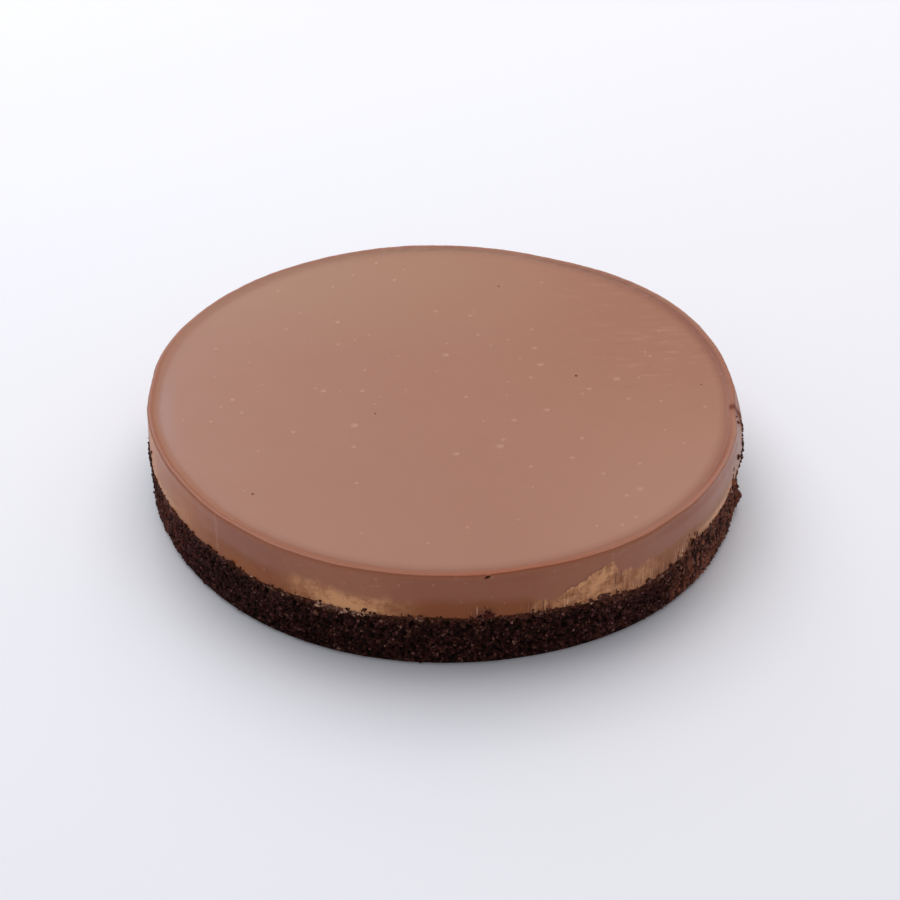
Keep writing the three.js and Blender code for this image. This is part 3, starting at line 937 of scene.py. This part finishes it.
def scatter_grains(name, body, seed, density, sizes, material, palest=1.0, dragged=False):
    """A new piece of grains on the body: density(place) is their number per square
    millimetre. Dragged grains are drawn out upwards."""
    def random_vector(nodes, low, high, seed):
        values = {"Min": low, "Max": high, "Seed": seed}
        return nodes.node("FunctionNodeRandomValue", {"data_type": "FLOAT_VECTOR"}, values)

    def build(nodes, geometry):
        place = nodes.position()
        values = {"Mesh": geometry, "Density": density(place) * PER_SQUARE_METRE, "Seed": seed}
        points = nodes.node("GeometryNodeDistributePointsOnFaces", {"distribute_method": "RANDOM"}, values)
        grain = nodes.node("GeometryNodeMeshIcoSphere", {}, {"Radius": 1.0, "Subdivisions": 1})
        fate = nodes.node("FunctionNodeRandomValue", {}, {"Seed": seed + 1}, output=1)
        size = sizes[0] + (sizes[1] - sizes[0]) * fate * fate
        if dragged:
            stretch = random_vector(nodes, (0.5, 0.5, 1.0), (0.8, 0.8, 4.5), seed + 2)
            turn = random_vector(nodes, (-0.15, -0.15, 0), (0.15, 0.15, 6.28), seed + 3)
        else:
            stretch = random_vector(nodes, (0.5, 0.5, 0.5), (1.4, 1.4, 1.4), seed + 2)
            turn = random_vector(nodes, (0, 0, 0), (6.28, 6.28, 6.28), seed + 3)
        scale = nodes.vector_math("SCALE", {0: stretch, "Scale": size})
        values = {"Points": points, "Instance": grain, "Rotation": turn, "Scale": scale}
        grains = nodes.node("GeometryNodeInstanceOnPoints", {}, values)
        shade = nodes.node("FunctionNodeRandomValue", {}, {3: palest, "Seed": seed + 4}, output=1)
        grains = store(grains, "shade", shade, "INSTANCE")
        grains = nodes.node("GeometryNodeRealizeInstances", {}, {"Geometry": grains})
        return shaken(grains, nodes.position(), 0.7 * MM, 0.8 * MM)

    select_only(body)
    bpy.ops.object.duplicate()
    grains = bpy.context.object
    grains.name = name
    reshape(grains, name, build)
    grains.data.materials.clear()
    grains.data.materials.append(material)
    select_only(grains)
    bpy.ops.object.shade_flat()
    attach(grains, "root")
    return grains


def on_sponge_side(place):
    x, y, z, radius, bearing = place_parts(place)
    side = radius.rise(RING_RADIUS - 5.5 * MM, RING_RADIUS - 4.5 * MM)
    bare = place.node("GeometryNodeInputNamedAttribute", {"data_type": "FLOAT"}, {"Name": "pore"})
    up = above_line(bearing, z)
    inside = z.rise(0.3 * MM, 1.0 * MM) * (1 - up.rise(-0.3, 0.5))
    return side * inside * (0.52 - 0.52 * bare)


side_crumbs = scatter_grains("side_crumbs", sponge, 11, on_sponge_side, (0.28 * MM, 0.7 * MM), crumb)


# Crumbs on the cream: caught along its lower edge and stuck to its wall. Where the ring dragged
# them up as it came off, they are drawn out.
def in_trails(trails, bearing, above):
    """Each trail: bearing, half width and height in millimetres, and grains per square millimetre."""
    total = 0.0
    for middle, half_width, tall, amount in trails:
        away = turn_from(bearing, middle) * (RING_RADIUS / (half_width * MM))
        fade = (1 - above / tall).rise(0.0, 1.0)
        total = amount * (1 - (away * away).rise(0.3, 1.0)) * fade + total
    return total


def wall_over_line(place):
    """The bearing, the height over the layer line, and 1 on the cream's wall over that line."""
    x, y, z, radius, bearing = place_parts(place)
    above = above_line(bearing, z)
    wall = radius.rise(RING_RADIUS - 4 * MM, RING_RADIUS - 3 * MM) * above.rise(-0.5, 0.0)
    return bearing, above, wall


def on_cream_wall(place):
    bearing, above, wall = wall_over_line(place)
    trails = (
        (313, 9, 4.0, 0.15), (320.5, 4, 6.0, 0.3), (353, 4, 36.0, 0.42), (350, 5, 7.0, 0.8),
        (188, 9, 11.0, 0.4), (60, 10, 5.0, 0.2), (120, 8, 9.0, 0.2), (40, 3, 12.0, 0.3), (255, 7, 2.5, 0.3),
    )
    usual = 0.7 - bumps_at(bearing, ((252, 9, 0.5),))
    return wall * (usual * (1 - above.rise(0.1, 1.8)) + in_trails(trails, bearing, above))


def on_dragged_wall(place):
    bearing, above, wall = wall_over_line(place)
    trails = (
        (277.6, 2.0, 5.5, 2.0), (276.0, 2.2, 5.5, 0.9), (288.5, 7, 3.5, 0.3), (301.8, 1.6, 4.0, 0.5),
        (318, 4, 9.0, 0.5), (321, 5, 8.0, 0.5), (341.5, 1.5, 13.0, 1.2), (80, 12, 6.0, 0.2),
        (140, 9, 7.0, 0.2), (15, 8, 6.0, 0.2),
    )
    return wall * in_trails(trails, bearing, above)


edge_crumbs = scatter_grains(
    "edge_crumbs", cream, 23, on_cream_wall, (0.25 * MM, 0.9 * MM), crumb, palest=0.5
)
dragged_crumbs = scatter_grains(
    "dragged_crumbs", cream, 27, on_dragged_wall, (0.2 * MM, 0.5 * MM), crumb, palest=0.45, dragged=True
)


# Cream dabs: crumbs along the top edge of the sponge that took a coat of cream. They cling between
# the layers, mostly at the left and the middle of the front.
def on_top_edge(place):
    x, y, z, radius, bearing = place_parts(place)
    above = above_line(bearing, z)
    near = above.within(-1.8, -0.6, 0.6, 1.4)
    side = radius.rise(RING_RADIUS - 1.8 * MM, RING_RADIUS - 0.8 * MM)
    coated = noise(place, 9 * MM, 2.0).rise(-0.2, 0.5) * 0.55
    trails = ((252, 12, 30.0, 3.4), (265.8, 1.6, 30.0, 2.0), (224.4, 1.6, 30, 0.8), (286, 4, 30, 0.5))
    return side * near * (coated + in_trails(trails, bearing, above))


dab, shader = new_material("cream on crumbs")
place = shader.node("ShaderNodeTexCoord", output="Object")
shade = attribute(shader, "shade")
tint = mixed(shade * shade, colour(98, 58, 42), colour(214, 168, 138))
tint = tint.toward(noise(place, 0.6 * MM, 2.0).rise(0.2, 0.5) * 0.7, colour(60, 32, 26))
finish_material(shader, {"Base Color": tint, "Roughness": 0.45, "Specular IOR Level": 0.3})
cream_dabs = scatter_grains("cream_dabs", sponge, 31, on_top_edge, (0.27 * MM, 0.8 * MM), dab)


# Large crumbs: a few lumps that stand out of the sponge or lie against the cream, each a rough
# ball. Bearing, height, how far out of the side the middle is, and half its length, height, depth.
LARGE_CRUMBS = (
    (298.9, 20.2, 0.2, 2.9, 1.1, 0.9), (350, 5.5, 1.0, 2.8, 2.2, 1.5), (349, 9, -0.2, 1.8, 1.5, 1.2),
    (277.9, 21.6, -0.2, 1.5, 1.2, 0.8), (277.1, 22.9, -0.1, 0.8, 0.9, 0.5),
    (345.6, 29.6, 0.7, 0.6, 0.9, 0.5), (309, 18.2, -0.1, 1.8, 1.3, 0.9), (311.5, 17.4, -0.2, 1.6, 1.4, 0.9),
    (303.5, 17.6, -0.1, 1.5, 1.3, 0.9), (323, 21.6, -0.2, 1.6, 1.2, 0.9), (352.5, 19.5, 0.8, 1.4, 1.3, 1.0),
    (246.5, 16, -0.2, 1.8, 1.4, 1.0), (314, 14.5, -0.1, 1.5, 1.3, 1.0), (320.5, 21, 0.1, 1.3, 1.3, 0.9),
    (265.8, 21.2, 0.0, 1.2, 1.0, 0.8), (233, 12, -0.3, 1.6, 1.3, 1.0), (183, 13, 0.0, 1.6, 1.9, 1.0),
    (206, 19.6, -0.1, 1.5, 1.2, 1.0), (20, 18, 0.0, 1.8, 1.3, 1.0), (62, 9, 0.0, 1.5, 1.8, 1.1),
    (96, 11, 0.1, 2.0, 1.6, 1.0), (131, 20, 0.0, 1.6, 1.2, 1.0), (158, 6, 0.0, 1.8, 1.3, 1.0),
)


def rough_lumps(nodes, geometry):
    place = nodes.position()
    geometry = shaken(geometry, place, 1.5 * MM, 1.6 * MM)
    geometry = store(geometry, "shade", 0.5 + 0.4 * noise(place, 5 * MM, 0.0))
    return shaken(geometry, place, 0.5 * MM, 0.5 * MM)


deselect_all()
lumps = []
for bearing, height, proud, length, tall, deep in LARGE_CRUMBS:
    turn = radians(bearing)
    outline = sum(size * cos(lobes * (turn - radians(crest))) for lobes, size, crest in OUTLINE_WAVES)
    reach = RING_RADIUS + outline + proud * MM
    bpy.ops.mesh.primitive_ico_sphere_add(subdivisions=4, radius=MM)
    bpy.ops.object.mode_set(mode="EDIT")
    bpy.ops.transform.resize(value=(deep, length, tall))
    bpy.ops.transform.rotate(value=-turn, orient_axis="Z", center_override=(0, 0, 0))
    bpy.ops.transform.translate(value=(reach * cos(turn), reach * sin(turn), height * MM))
    bpy.ops.object.mode_set(mode="OBJECT")
    lumps.append(bpy.context.object)
for lump in lumps:
    lump.select_set(True)
bpy.ops.object.join()
large_crumbs = bpy.context.object
large_crumbs.name = "large_crumbs"
reshape(large_crumbs, "rough_lumps", rough_lumps)
bpy.ops.object.shade_smooth()
large_crumbs.data.materials.append(crumb)
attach(large_crumbs, "root")
